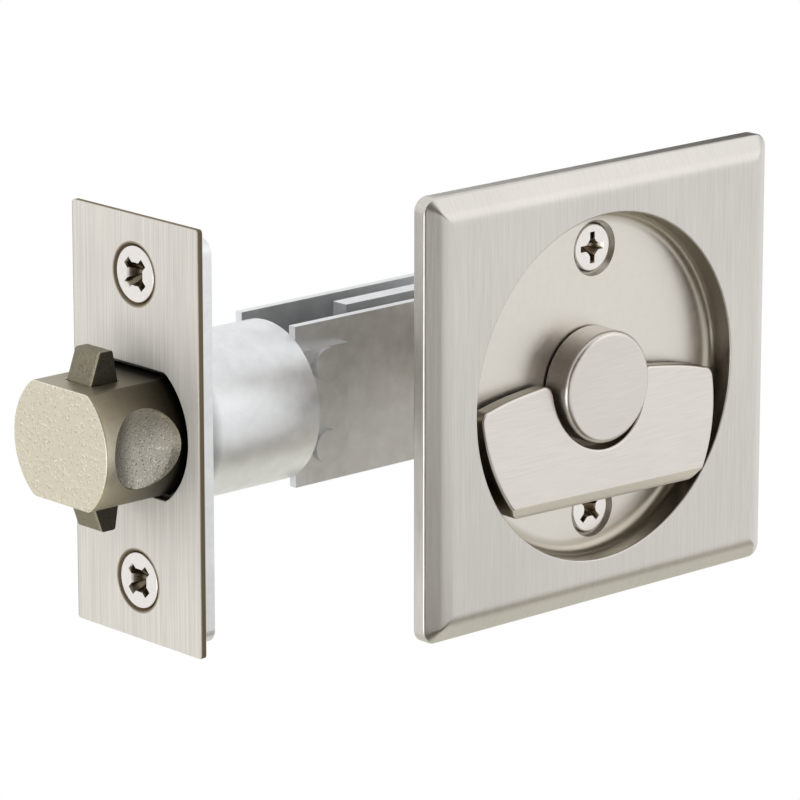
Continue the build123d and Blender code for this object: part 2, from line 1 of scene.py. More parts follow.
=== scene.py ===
import bmesh
import bpy
import numpy as np
from math import cos, radians, sin, tan
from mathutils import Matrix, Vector


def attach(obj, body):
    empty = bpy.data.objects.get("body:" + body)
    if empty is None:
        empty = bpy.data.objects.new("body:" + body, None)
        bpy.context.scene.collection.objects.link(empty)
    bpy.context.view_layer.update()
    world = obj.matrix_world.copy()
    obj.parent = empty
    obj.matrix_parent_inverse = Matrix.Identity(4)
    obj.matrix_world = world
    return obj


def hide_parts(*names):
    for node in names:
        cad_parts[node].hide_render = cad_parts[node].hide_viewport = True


# Pocket door lock. Sizes are in millimetres and become metres when a mesh is made.
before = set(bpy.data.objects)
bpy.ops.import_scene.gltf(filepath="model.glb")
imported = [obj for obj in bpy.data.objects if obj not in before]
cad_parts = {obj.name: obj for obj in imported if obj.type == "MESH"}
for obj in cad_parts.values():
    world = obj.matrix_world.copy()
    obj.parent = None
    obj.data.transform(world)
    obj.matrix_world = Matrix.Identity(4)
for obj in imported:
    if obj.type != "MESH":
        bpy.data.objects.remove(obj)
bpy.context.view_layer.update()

# Flush plate: one brass casting, bevelled all round, with a round cup sunk through it. Machined flat, brushed
# along its height and nickel plated; two countersunk holes in the cup's floor take the screws that clamp it.
plate_wide, plate_high, plate_corner = 63.5, 60.3, 2.0
plate_edge, plate_front = -2.0, -3.8
bevel_wide, flat_corner = 2.85, 0.5
back_inset, flat_inset = 3.2, 4.4
back_round, edge_round, ridge_round = 0.2, 0.45, 3.6
recess_radius, floor_y, cup_back_y, cup_radius = 23.8, 0.4, 2.1, 25.6
rim_round, floor_round, cup_round = 0.25, 1.6, 0.5
cup_bore, bore_front_round, bore_back_round = 5.25, 0.15, 0.2
screw_x, screw_z = 1.5, 18.2
cup_seat_radius, cup_hole_radius, cup_hole_deep = 3.85, 2.15, 3.0
sink_slope, seat_land, seat_clear = tan(radians(41)), 0.12, 0.3


def rounded_line(corners, steps=6, hold=0.05):
    """An open line through (a, b, radius): each corner with a radius becomes an arc touching both its sides, with
    one more point on either side just outside the arc to keep the flats flat."""
    line = [corners[0][:2]]
    for before, here, after in zip(corners, corners[1:], corners[2:]):
        point = np.array(here[:2], float)
        if here[2] == 0:
            line.append(point)
            continue
        back = np.array(before[:2], float) - point
        ahead = np.array(after[:2], float) - point
        back /= np.linalg.norm(back)
        ahead /= np.linalg.norm(ahead)
        half = np.arccos(np.clip(back @ ahead, -1, 1)) / 2
        reach = here[2] / np.tan(half)
        middle = point + (back + ahead) / np.linalg.norm(back + ahead) * here[2] / np.sin(half)
        sweep = np.pi - 2 * half
        share = np.linspace(0, 1, steps + 1)[:, None]
        first = point + back * reach - middle
        last = point + ahead * reach - middle
        arc = middle + (np.sin((1 - share) * sweep) * first + np.sin(share * sweep) * last) / np.sin(sweep)
        line += [point + back * (reach + hold), *arc, point + ahead * (reach + hold)]
    line.append(corners[-1][:2])
    return np.array(line, float)


def rectangle_loop(half_wide, half_high, radius, arc=8, side=56):
    """A closed loop: four quarter circles of the given radius joined by straight sides, with a fixed count of points
    so that loops of different size pair up."""
    angle = np.linspace(0, np.pi / 2, arc + 1)[None] + np.arange(4)[:, None] * np.pi / 2
    middle_x = np.array([1, -1, -1, 1])[:, None] * (half_wide - radius)
    middle_z = np.array([1, 1, -1, -1])[:, None] * (half_high - radius)
    corner = np.stack((middle_x + radius * np.cos(angle), middle_z + radius * np.sin(angle)), -1)
    share = np.linspace(0, 1, side + 2)[1:-1, None]
    run = corner[:, -1:] + share * (np.roll(corner[:, 0], -1, 0) - corner[:, -1])[:, None]
    return np.concatenate((corner, run), 1).reshape(-1, 2)


def grid_faces(rows, columns, closed=False):
    """The cells of a grid numbered row by row, whose columns run round; its rows run round too if closed."""
    index = np.arange(rows * columns).reshape(rows, columns)
    after = np.roll(index, -1, 1)
    cells = np.stack((index, after, np.roll(after, -1, 0), np.roll(index, -1, 0)), -1)
    return (cells if closed else cells[:-1]).reshape(-1, 4).tolist()


def solid(name, shells, sharp=35):
    """A mesh object from closed shells of (points in millimetres, faces): poles and seams are merged, faces turned
    outward, and edges over the sharp angle stay crisp."""
    points = np.concatenate([np.asarray(shell[0], float).reshape(-1, 3) for shell in shells])
    offset = np.cumsum([0] + [len(np.asarray(shell[0]).reshape(-1, 3)) for shell in shells])
    faces = [[corner + int(start) for corner in face] for shell, start in zip(shells, offset) for face in shell[1]]
    mesh = bpy.data.meshes.new(name)
    mesh.from_pydata((points / 1000).tolist(), [], faces)
    work = bmesh.new()
    work.from_mesh(mesh)
    bmesh.ops.remove_doubles(work, verts=work.verts, dist=2e-7)
    bmesh.ops.dissolve_degenerate(work, edges=work.edges, dist=2e-7)
    bmesh.ops.recalc_face_normals(work, faces=work.faces)
    work.to_mesh(mesh)
    work.free()
    mesh.shade_smooth()
    mesh.set_sharp_from_angle(angle=radians(sharp))
    piece = bpy.data.objects.new(name, mesh)
    bpy.context.scene.collection.objects.link(piece)
    return piece


def drill(piece, shells, sharp=35):
    """Cuts closed shells out of a piece and keeps the cut mesh."""
    tool = solid("tool", shells)
    cut = piece.modifiers.new("cut", "BOOLEAN")
    cut.operation = "DIFFERENCE"
    cut.solver = "EXACT"
    cut.object = tool
    evaluated = piece.evaluated_get(bpy.context.evaluated_depsgraph_get())
    mesh = bpy.data.meshes.new_from_object(evaluated)
    piece.modifiers.clear()
    old, piece.data = piece.data, mesh
    mesh.name = piece.name
    bpy.data.meshes.remove(old)
    bpy.data.objects.remove(tool)
    mesh.shade_smooth()
    mesh.set_sharp_from_angle(angle=radians(sharp))


def lathe(line, place, axis, columns=96):
    """A line of (radius, height) turned once round an axis through a place: each point sweeps a circle at its
    height."""
    axis = np.array(axis, float)
    across = np.cross(axis, (0, 0, 1))
    angle = np.linspace(0, 2 * np.pi, columns, endpoint=False)[None, :, None]
    radius, height = np.asarray(line, float)[:, 0, None, None], np.asarray(line, float)[:, 1, None, None]
    spread = np.cos(angle) * across + np.sin(angle) * np.array((0, 0, 1.0))
    points = np.array(place, float) + radius * spread + height * axis
    return points, grid_faces(len(line), columns, closed=True)


def metal(name, colour, roughness, grain, spread=0.05, relief=0.05, cloud=60, painted_light_and_shade=(), painted_grit=None):
    """A metal whose tone, gloss and relief waver along noise stretched by grain, in cells per metre along x, y and z,
    and more slowly over a round noise. Each ramp given paints light or shade into the colour: it multiplies the colour
    by a ramp over the distance from a place, counted along the chosen axes only. Painted grit, as cells per metre and
    strength, paints cast bumps in the colour only: the peaks of a noise seen from two places a little apart, one less
    the other, so that each has a painted light side and a painted dark side."""
    material = bpy.data.materials.new(name)
    material.use_nodes = True
    tree = material.node_tree
    link = tree.links.new
    shader = tree.nodes["Principled BSDF"]
    shader.inputs["Metallic"].default_value = 1
    low, high, waver = 0.3, 0.7, 0.04

    def add(kind, operation=None, **values):
        """A new node of a kind, with values on its sockets; an underscore stands for the space in a socket's name."""
        node = tree.nodes.new("ShaderNode" + kind)
        if operation:
            node.operation = operation
        for socket, value in values.items():
            node.inputs[socket.replace("_", " ")].default_value = value
        return node

    def multiply(colour, factor):
        """One colour times another."""
        mix = add("Mix")
        mix.data_type = "RGBA"
        mix.blend_type = "MULTIPLY"
        mix.inputs[0].default_value = 1
        link(colour, mix.inputs[6])
        link(factor, mix.inputs[7])
        return mix.outputs[2]

    place = add("TexCoord").outputs["Object"]
    stretch = add("Mapping", Scale=grain)
    lines = add("TexNoise", Scale=1, Detail=4, Roughness=0.6)
    patches = add("TexNoise", Scale=cloud, Detail=3)
    part = add("Math", "MULTIPLY")
    part.inputs[1].default_value = 0.25
    both = add("Math", "MULTIPLY_ADD")
    both.inputs[1].default_value = 0.75
    tone = add("ValToRGB")
    dark, light = tone.color_ramp.elements
    dark.position, light.position = low, high
    dark.color = (*[channel * (1 - spread) for channel in colour], 1)
    light.color = (*[min(channel * (1 + spread), 1) for channel in colour], 1)
    gloss = add("MapRange", From_Min=low, From_Max=high, To_Min=roughness - waver, To_Max=roughness + waver)
    bump = add("Bump", Strength=relief, Distance=2e-5)
    link(place, stretch.inputs["Vector"])
    link(place, patches.inputs["Vector"])
    link(stretch.outputs["Vector"], lines.inputs["Vector"])
    link(patches.outputs["Fac"], part.inputs[0])
    link(lines.outputs["Fac"], both.inputs[0])
    link(part.outputs["Value"], both.inputs[2])
    link(both.outputs["Value"], tone.inputs["Fac"])
    shade = tone.outputs["Color"]
    # Each ramp paints light or shade into the colour by place.
    for middle, axes, stops in painted_light_and_shade:
        offset = add("Mapping", Scale=axes, Location=[-m * a / 1000 for m, a in zip(middle, axes)])
        length = add("VectorMath", "LENGTH")
        span = add("MapRange", From_Max=stops[-1][0] / 1000)
        ramp = add("ValToRGB")
        for _ in stops[2:]:
            ramp.color_ramp.elements.new(0.5)
        for element, (reach, factor) in zip(ramp.color_ramp.elements, stops):
            element.position = reach / stops[-1][0]
            element.color = (*factor, 1)
        link(place, offset.inputs["Vector"])
        link(offset.outputs["Vector"], length.inputs[0])
        link(length.outputs["Value"], span.inputs["Value"])
        link(span.outputs["Result"], ramp.inputs["Fac"])
        shade = multiply(shade, ramp.outputs["Color"])
    # The grit paints a lit and a shaded side on each cast bump into the colour; the surface stays smooth.
    if painted_grit:
        cells_a_metre, strength = painted_grit
        less = add("Math", "SUBTRACT")
        for socket, step in enumerate((-5e-5, 5e-5)):
            shift = add("Mapping", Location=[step * share for share in (-0.5, -0.5, 0.7)])
            cells = add("TexNoise", Scale=cells_a_metre, Detail=1)
            peak = add("MapRange", From_Min=0.57, From_Max=0.74)
            link(place, shift.inputs["Vector"])
            link(shift.outputs["Vector"], cells.inputs["Vector"])
            link(cells.outputs["Fac"], peak.inputs["Value"])
            link(peak.outputs["Result"], less.inputs[socket])
        span = add("MapRange", From_Min=-0.5, From_Max=0.5)
        ramp = add("ValToRGB")
        for element, sign in zip(ramp.color_ramp.elements, (-1, 1)):
            element.color = (*[1 + sign * strength] * 3, 1)
        link(less.outputs["Value"], span.inputs["Value"])
        link(span.outputs["Result"], ramp.inputs["Fac"])
        shade = multiply(shade, ramp.outputs["Color"])
    link(shade, shader.inputs["Base Color"])
    link(lines.outputs["Fac"], gloss.inputs["Value"])
    link(gloss.outputs["Result"], shader.inputs["Roughness"])
    link(lines.outputs["Fac"], bump.inputs["Height"])
    link(bump.outputs["Normal"], shader.inputs["Normal"])
    return material


def finish(piece, materials, body, slot, *nodes):
    """Gives a piece its materials, the body it rides on and the CAD nodes it stands for; the slot argument is not used.
    """
    piece.data.materials.clear()
    for material in materials:
        piece.data.materials.append(material)
    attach(piece, body)
    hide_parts(*nodes)


def face_rows(piece, field):
    """The center or the normal of each of a piece's faces, as rows of x, y and z."""
    rows = np.empty((len(piece.data.polygons), 3))
    piece.data.polygons.foreach_get(field, rows.ravel())
    return rows


def share_out(piece, kind):
    """Gives each face of a piece the material of this number."""
    piece.data.polygons.foreach_set("material_index", np.asarray(kind, np.int32))


def flush_plate_rings():
    """Loops from the plate's back out round its edge, over the bevel and flat, down the recess and out through the
    bore: rounded rectangles set in by a distance, then circles at the same angles."""
    shape = rounded_line([(back_inset, 0, 0), (0, 0, back_round), (0, plate_edge, edge_round),
                          (bevel_wide, plate_front, ridge_round), (flat_inset, plate_front, 0)])
    rings = []
    for inset, height in shape:
        radius = np.interp(inset, (0, 0.5, 1.2, bevel_wide), (plate_corner, 1.2, flat_corner, flat_corner / 2))
        loop = rectangle_loop(plate_wide / 2 - inset, plate_high / 2 - inset, radius)
        rings.append(np.stack((loop[:, 0], np.full(len(loop), height), loop[:, 1]), -1))
    angle = np.arctan2(loop[:, 1], loop[:, 0])
    turned = rounded_line([(recess_radius + 1, plate_front, 0), (recess_radius, plate_front, rim_round),
                           (recess_radius, floor_y, floor_round), (cup_bore, floor_y, bore_front_round),
                           (cup_bore, cup_back_y, bore_back_round), (cup_radius, cup_back_y, cup_round),
                           (cup_radius, 0, 0)], steps=10)
    circles = [np.stack((r * np.cos(angle), np.full(len(angle), y), r * np.sin(angle)), -1) for r, y in turned]
    points = np.array(rings + circles)
    return points, grid_faces(len(points), points.shape[1], closed=True)


def seat_tool(place, outward, seat_radius, shank_radius, depth):
    """The space of a countersunk screw: a cone from the surface down to the shank, then the shank's hole."""
    drop = (seat_radius - shank_radius) / sink_slope
    line = [(0, seat_clear), (seat_radius, seat_clear), (seat_radius, -seat_land), (shank_radius, -seat_land - drop),
            (shank_radius, -depth), (0, -depth)]
    return lathe(line, place, outward, 64)


flush_plate = solid("flush_plate_skin", [flush_plate_rings()])
for height in (screw_z, -screw_z):
    drill(flush_plate, [seat_tool((screw_x, floor_y, height), (0, -1, 0), cup_seat_radius, cup_hole_radius,
                                  cup_hole_deep)])
satin_plate = metal("satin_plate", (0.62, 0.592, 0.557), 0.34, (5600, 900, 150), spread=0.1, relief=0.4)
# wall_shade paints shade into the cup's wall and the rounding at its floor, from 21.6 mm out to the rim.
wall_shade = [(0, (1, 1, 1)), (21.6, (1, 1, 1)), (22.5, (0.66, 0.64, 0.58)), (23.3, (0.68, 0.66, 0.6)),
              (24, (0.8, 0.78, 0.74))]
satin_recess = metal("satin_recess", (0.70, 0.665, 0.61), 0.32, (900, 900, 900), spread=0.04, relief=0.04,
                     painted_light_and_shade=[((0, 0, 0), (1, 0, 1), wall_shade)])
finish(flush_plate, (satin_plate, satin_recess), "lock", "satin_plate", "flush_plate")
middles = face_rows(flush_plate, "center") * 1000
share_out(flush_plate, np.hypot(middles[:, 0], middles[:, 2]) < recess_radius + 0.02)

# Cup screws: two bright nickel-plated machine screws with flat heads and cross recesses, sunk in the cup's floor
# and run through the door into the trim on its other face. The upper cross stands upright, the lower is turned.
cup_head_radius, cup_shank_radius, cup_screw_long, cup_pitch = 3.4, 2.1, 23.5, 0.8
cup_cross_span, cup_cross_arm, cross_deep = 4.3, 0.85, 1.5
cup_top_y = floor_y + 0.4
head_round, neck_long, thread_deep = 0.18, 1.0, 0.28


def screw_shell(place, outward, head_radius, shank_radius, length, pitch, point):
    """A flat head turned about the axis, then a shank whose radius follows a helix: a triangle wave of height along the
    axis plus the turn, fading to a point if it has one."""
    axis = np.array(outward, float)
    across = np.cross(axis, (0, 0, 1))
    head_high = (head_radius - shank_radius) / sink_slope
    neck = -head_high - neck_long
    head = rounded_line([(0, 0, 0), (head_radius, 0, head_round), (shank_radius, -head_high, 0),
                         (shank_radius, neck, 0)])
    columns, rows_a_turn = 48, 10
    turn = np.linspace(0, 2 * np.pi, columns, endpoint=False)
    height = np.linspace(neck - 0.05, -length, int((length + neck) / pitch * rows_a_turn))
    phase = (height[:, None] / pitch + turn[None] / (2 * np.pi)) % 1
    wave = np.abs(2 * phase - 1)
    fade = np.clip((height + length) / point, 0.02, 1) if point else np.ones(len(height))
    start = np.clip((neck - 0.05 - height) / pitch, 0, 1)
    radius = shank_radius * fade[:, None] - thread_deep * pitch * start[:, None] * (1 - wave)
    radius = np.maximum(radius, 0.05)
    plain = np.repeat(head[:, :1], columns, 1)
    radius = np.concatenate((plain, radius, np.zeros((1, columns))))
    height = np.concatenate((head[:, 1], height, height[-1:]))
    spread = np.cos(turn)[:, None] * across + np.sin(turn)[:, None] * np.array((0, 0, 1.0))
    points = np.array(place, float) + radius[:, :, None] * spread[None] + height[:, None, None] * axis
    return points, grid_faces(len(points), columns)


def cross_tool(place, outward, turn, span, arm):
    """A tapering cross with hollowed corners: one plus-shaped loop carried down the axis and drawn in on the way."""
    axis = np.array(outward, float)
    across = np.cross(axis, (0, 0, 1))
    long, wide, inner = span / 2, arm / 2, arm * 0.95
    quarter = [(long, wide), (inner + 0.35, wide), (inner * 0.92, inner * 0.92), (wide, inner + 0.35), (wide, long)]
    quarter = np.array([(long, -wide)] + quarter[:-1])
    spin = np.arange(4) * np.pi / 2
    loop = np.concatenate([quarter @ np.array(((cos(a), sin(a)), (-sin(a), cos(a)))) for a in spin])
    angle = radians(turn)
    loop = loop @ np.array(((cos(angle), sin(angle)), (-sin(angle), cos(angle))))
    levels = [(1.06, 0.2), (1.0, -0.02), (0.8, -cross_deep * 0.6), (0.5, -cross_deep), (0.0, -cross_deep * 1.35)]
    rings = [np.array(place, float) + size * (loop[:, :1] * across + loop[:, 1:] * np.array((0, 0, 1.0))) + depth * axis
             for size, depth in levels]
    faces = grid_faces(len(rings), len(loop))
    faces.append(list(range(len(loop))))
    return np.array(rings), faces


# recess_shade paints shade into the colour below the head's top: dark down the cross recess and the head's cone, plain
# again on the shank.
recess_shade = [(0, (1, 1, 1)), (0.15, (1, 1, 1)), (0.4, (0.50, 0.44, 0.37)), (2.2, (0.36, 0.31, 0.25)),
                (2.6, (1, 1, 1))]
screw_plating = metal("screw_plating", (0.80, 0.765, 0.73), 0.24, (1500, 1500, 1500), spread=0.05, relief=0.03,
                      painted_light_and_shade=[((0, cup_top_y, 0), (0, 1, 0), recess_shade)])
for name, height, turn in (("cup_screw_upper", screw_z, 0), ("cup_screw_lower", -screw_z, 45)):
    top = (screw_x, cup_top_y, height)
    screw = solid(name, [screw_shell(top, (0, -1, 0), cup_head_radius, cup_shank_radius, cup_screw_long, cup_pitch, 0)])
    drill(screw, [cross_tool(top, (0, -1, 0), turn, cup_cross_span, cup_cross_arm)])
    finish(screw, [screw_plating], "lock", "screw_plating", "cup_screws")

# Bushing, thrust washer and retaining clip: a turned bronze sleeve pressed into the cup's floor, a plated washer
# behind it and a spring clip in the journal's groove. They hold the turn in the cup and show only from behind.
bushing_bronze = metal("bushing_bronze", (0.62, 0.44, 0.22), 0.32, (900, 2600, 900))
bright_steel = metal("bright_steel", (0.62, 0.62, 0.61), 0.26, (700, 2600, 700))
zinc_steel = metal("zinc_steel", (0.80, 0.81, 0.82), 0.4, (420, 420, 420), spread=0.1, cloud=160)


def keep(node, material):
    """Shows a CAD node as it is, with a material of its own."""
    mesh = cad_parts[node].data
    mesh.materials.clear()
    mesh.materials.append(material)


keep("turn_bushing", bushing_bronze)
keep("thrust_washer", zinc_steel)
keep("retaining_clip", bright_steel)

# Wing: the fan-shaped flag of the thumb turn, cast with a web that joins it to the knob's foot. Its face rises to a
# bevelled foot that a fingertip catches; brushed across and nickel plated.
wing_radius, wing_drop, wing_shoulder, wing_crown, wing_foot = 21.7, 1.8, -0.6, 1.6, -15.6
wing_back, wing_front, wing_rise, wing_tilt = -0.4, -2.325, tan(radians(10.5)), radians(1.3)
wing_bevel_z, wing_lean = -13.8, tan(radians(34))
groove_radius, wing_round, groove_round = 8.5, 0.4, 1.0
wing_corner, foot_corner = 1.0, 1.3
web_inside, web_outside, web_front, web_back = 7.3, 8.9, -1.1, -0.45


def wing_shells():
    """The flag's face is ruled between the groove's circle and the fan's outline, with one row on the bevel's crease;
    its height is the greater of two slopes. The border is then carried round an edge and back to a flat rear."""
    lip = wing_radius - wing_round
    foot = wing_foot + wing_round
    shoulder = wing_shoulder - wing_round
    shoulder_x = np.sqrt(wing_radius**2 - (wing_shoulder + wing_drop) ** 2)
    flank = np.linspace(np.arcsin(-(shoulder + wing_drop) / lip), np.arcsin(-(foot + wing_drop) / lip), 30)
    side = np.stack((lip * np.cos(flank), -wing_drop - lip * np.sin(flank)), -1)
    inner_z = wing_crown - wing_round - groove_round - 0.4
    inner = np.array((np.sqrt((groove_radius + wing_round) ** 2 - inner_z**2), inner_z))
    half = [(*inner, 0), (*side[0], wing_corner)] + [(*point, 0) for point in side[3:-3]]
    half += [(*side[-1], foot_corner), (0, foot, 0)]
    right = rounded_line(half, steps=10)[1:]
    outer = np.concatenate((right, (right * (-1, 1))[::-1][1:]))
    along = np.concatenate(([0], np.cumsum(np.linalg.norm(np.diff(outer, axis=0), axis=1))))
    columns = 280
    at = np.linspace(0, along[-1], columns)
    outer = np.stack((np.interp(at, along, outer[:, 0]), np.interp(at, along, outer[:, 1])), -1)
    turn = np.unwrap(np.arctan2(outer[:, 1], outer[:, 0]))
    first = np.arctan2(inner[1], inner[0])
    turn = first + (turn - turn[0]) / (turn[-1] - turn[0]) * (-np.pi - 2 * first)
    near = (groove_radius + wing_round) * np.stack((np.cos(turn), np.sin(turn)), -1)
    crease = np.where(outer[:, 1] < wing_bevel_z, (wing_bevel_z - near[:, 1]) / (outer[:, 1] - near[:, 1]), 1.0)
    above = np.linspace(0, 1, 40)[:, None] * crease
    below = crease + np.linspace(0, 1, 9)[1:, None] * (1 - crease)
    rows = np.concatenate((above, below))
    flat = near + rows[:, :, None] * (outer - near)
    end = np.clip(1 - np.minimum(at, at[::-1]) / 5, 0, 1) ** 2
    crown = wing_crown - wing_round + (wing_shoulder - wing_crown) * (flat[:, :, 0] / shoulder_x) ** 2
    away = np.linalg.norm(flat - near, axis=2)
    curl = np.sqrt(1 - np.clip(1 - away / groove_round, 0, 1) ** 2)
    flat[:, :, 1] += np.maximum(crown - flat[:, :, 1], 0) * curl * (1 - rows**8) * end

    def rise(z):
        """Height of the face at z: the greater of the long slope and the foot's bevel."""
        slope = wing_front + z * wing_rise
        bevel = wing_front + wing_bevel_z * wing_rise - wing_lean * (z - wing_bevel_z)
        return np.maximum(slope, bevel)

    face = np.stack((flat[:, :, 0], rise(flat[:, :, 1]), flat[:, :, 1]), -1)
    count = len(rows)
    index = np.arange(count * columns).reshape(count, columns)
    cells = np.stack((index[:-1, :-1], index[:-1, 1:], index[1:, 1:], index[1:, :-1]), -1).reshape(-1, 4).tolist()
    border = np.concatenate((index[-1, :-1], index[::-1][:-1, -1], index[0, ::-1][:-1], index[:-1, 0]))
    edge = face.reshape(-1, 3)[border]
    tangent = np.roll(edge, -1, 0) - np.roll(edge, 1, 0)
    outward = np.stack((-tangent[:, 2], tangent[:, 0]), -1)
    outward /= np.linalg.norm(outward, axis=1, keepdims=True) + 1e-12
    if (outward[: columns // 2] * edge[: columns // 2, ::2]).sum() < 0:
        outward = -outward
    rings = []
    for angle in np.linspace(0, np.pi / 2, 7)[1:]:
        step = wing_round * np.stack((outward[:, 0] * np.sin(angle), np.full(len(edge), 1 - np.cos(angle)),
                                      outward[:, 1] * np.sin(angle)), -1)
        rings.append(edge + step)
    foot_ring = rings[-1].copy()
    foot_ring[:, 1] = wing_back - 0.1
    rear = foot_ring - 0.1 * np.stack((outward[:, 0], np.full(len(edge), -1.0), outward[:, 1]), -1)
    rings = np.array(rings + [foot_ring, rear])
    points = np.concatenate((face.reshape(-1, 3), rings.reshape(-1, 3)))
    size = len(border)
    added = count * columns + np.arange(len(rings) * size).reshape(len(rings), size)
    ring_index = np.concatenate((border[None], added))
    after = np.roll(ring_index, -1, 1)
    cells += np.stack((ring_index[:-1], after[:-1], after[1:], ring_index[1:]), -1).reshape(-1, 4).tolist()
    cells.append(ring_index[-1].tolist())
    turns = 97
    arc = np.linspace(first + 0.02, -np.pi - first - 0.02, turns)
    section = np.array(((web_inside, web_front), (web_outside, web_front), (web_outside, web_back),
                        (web_inside, web_back)))
    web = np.stack((section[None, :, 0] * np.cos(arc)[:, None], np.repeat(section[None, :, 1], turns, 0),
                    section[None, :, 0] * np.sin(arc)[:, None]), -1)
    web_faces = grid_faces(turns, 4) + [[0, 1, 2, 3], list(range(4 * turns - 4, 4 * turns))]
    tilt = np.array(((cos(wing_tilt), 0, -sin(wing_tilt)), (0, 1, 0), (sin(wing_tilt), 0, cos(wing_tilt))))
    return [(points @ tilt, cells), (web @ tilt, web_faces)]


# groove_shade paints shade on the wing's web and the bottom of the groove round the knob, inside 8.4 mm of the axis.
groove_shade = [(0, (0.25, 0.22, 0.18)), (8.4, (0.25, 0.22, 0.18)), (8.6, (1, 1, 1)), (20, (1, 1, 1))]
satin_turn = metal("satin_turn", (0.68, 0.64, 0.60), 0.33, (220, 900, 5200), spread=0.07, relief=0.12,
                   painted_light_and_shade=[((0, 0, 0), (1, 0, 1), groove_shade)])
wing = solid("turn_wing_skin", wing_shells())
# A darker copy of the wing's metal paints shade on its upright sides and edges.
satin_edge_painted_shade = metal("satin_edge_painted_shade", (0.31, 0.28, 0.235), 0.33, (900, 220, 900), spread=0.07, relief=0.1)
# A lighter copy of the wing's metal paints light on the foot's bevel, which faces down and forward.
satin_foot_painted_light = metal("satin_foot_painted_light", (0.80, 0.76, 0.70), 0.33, (220, 900, 5200), spread=0.07, relief=0.12)
finish(wing, [satin_turn, satin_edge_painted_shade, satin_foot_painted_light], "turn", "satin_turn", "turn_wing")
# Faces are sorted by normal: upright sides take the painted shade, the foot's bevel the painted light, the rest the
# plain metal.
normals = face_rows(wing, "normal")
upright = np.abs(normals[:, 1]) < 0.45
bevelled = (normals[:, 2] < -0.4) & (normals[:, 1] < -0.7)
share_out(wing, np.where(upright, 1, np.where(bevelled, 2, 0)))

# Knob: a turned brass button at the middle of the turn, its rim rounded over, pinned to the wing's web and the
# spindle from behind. Its face is brushed across like the wing's.
knob_radius, knob_front, knob_back = 7.75, -4.3, 0.1
knob_round, knob_back_round = 0.8, 0.15
knob_line = rounded_line([(0, -knob_front, 0), (knob_radius, -knob_front, knob_round),
                          (knob_radius, -knob_back, knob_back_round), (0, -knob_back, 0)], steps=12)
knob = solid("turn_knob_skin", [lathe(knob_line, (0, 0, 0), (0, -1, 0), 160)])
satin_knob = metal("satin_knob", (0.67, 0.63, 0.59), 0.33, (220, 900, 5200), spread=0.07, relief=0.12)
finish(knob, [satin_knob], "turn", "satin_turn", "turn_knob")

# Spindle: a drawn steel bar, square where it passes through the latch's hub, with a round grooved journal turned
# on its near end. It is fixed in the knob's foot and carries the turn to the works inside the door.
keep("spindle", bright_steel)

# Face plate: a thin brass strip on the door edge with a hole in the bolt's shape, brushed along its height and
# nickel plated. Two countersunk holes take its screws.
face_x, face_thick, latch_y = -60.3, 0.95, 22.225
face_wide, face_high, face_corner = 25.4, 57.15, 0.5
face_front_round, face_rear_round, hole_front_round, hole_rear_round = 0.16, 0.12, 0.14, 0.1
bolt_radius, bolt_flat, hole_gap = 9.6, 7.8, 0.8
face_screw_z, face_seat_radius, face_hole_radius, face_hole_deep = 20.65, 4.15, 2.05, 1.5


def bolt_section(angle, gap):
    """Radius of the bolt's section at an angle: the smooth least of the round's radius and the flat's distance."""
    crisp = 9.0
    flat = (bolt_flat + gap) / np.maximum(np.abs(np.sin(angle)), 1e-3)
    flat = np.minimum(flat, 40)
    return -np.log(np.exp(-crisp * (bolt_radius + gap)) + np.exp(-crisp * flat)) / crisp


def face_plate_rings():
    """Loops over the front, round the edge and back behind, then through the hole: the hole's loop pairs with the
    rectangle's point by point."""
    outer = rounded_line([(1.0, 0, 0), (0, 0, face_front_round), (0, face_thick, face_rear_round),
                          (1.0, face_thick, 0)])
    loops = [(rectangle_loop(face_wide / 2 - inset, face_high / 2 - inset, max(face_corner - inset, 0.05)), depth)
             for inset, depth in outer]
    reference = rectangle_loop(bolt_radius, bolt_radius, 3.0)
    angle = np.arctan2(reference[:, 1], reference[:, 0])
    inner = rounded_line([(1.0, face_thick, 0), (0, face_thick, hole_rear_round), (0, 0, hole_front_round),
                          (1.0, 0, 0)])
    for grow, depth in inner:
        radius = bolt_section(angle, hole_gap + grow)
        loops.append((np.stack((radius * np.cos(angle), radius * np.sin(angle)), -1), depth))
    points = np.array([np.stack((np.full(len(loop), face_x + depth), latch_y + loop[:, 0], loop[:, 1]), -1)
                       for loop, depth in loops])
    return points, grid_faces(len(points), points.shape[1], closed=True)


face_plate = solid("face_plate_skin", [face_plate_rings()])
for height in (face_screw_z, -face_screw_z):
    drill(face_plate, [seat_tool((face_x, latch_y, height), (-1, 0, 0), face_seat_radius, face_hole_radius,
                                 face_hole_deep)])
# edge_shade paints shade on the strip's edge sides, between its front and back rounding.
edge_shade = [(0, (1, 1, 1)), (0.06, (1, 1, 1)), (0.2, (0.34, 0.28, 0.20)), (0.8, (0.30, 0.25, 0.18)),
              (0.92, (1, 1, 1)), (1.2, (1, 1, 1))]
# far_shade paints a thin line of shade along the strip's long edge on the side away from the flush plate.
far_shade = [(0, (0.45, 0.43, 0.40)), (0.12, (0.5, 0.48, 0.45)), (0.26, (1, 1, 1)), (26, (1, 1, 1))]
# ring_shade paints a ring of shade round each screw's seat in the strip.
ring_shade = [(0, (1, 1, 1)), (4.0, (1, 1, 1)), (4.06, (0.38, 0.32, 0.2)), (4.3, (0.42, 0.36, 0.24)),
              (4.42, (1, 1, 1)), (60, (1, 1, 1))]
brushed_face = metal("brushed_face", (0.785, 0.762, 0.722), 0.75, (900, 4600, 60), spread=0.14, relief=0.1,
                     painted_light_and_shade=[((face_x, 0, 0), (1, 0, 0), edge_shade),
                            ((0, latch_y + face_wide / 2, 0), (0, 1, 0), far_shade),
                            ((0, latch_y, face_screw_z), (0, 1, 1), ring_shade),
                            ((0, latch_y, -face_screw_z), (0, 1, 1), ring_shade)])
finish(face_plate, [brushed_face], "lock", "brushed_face", "face_plate")

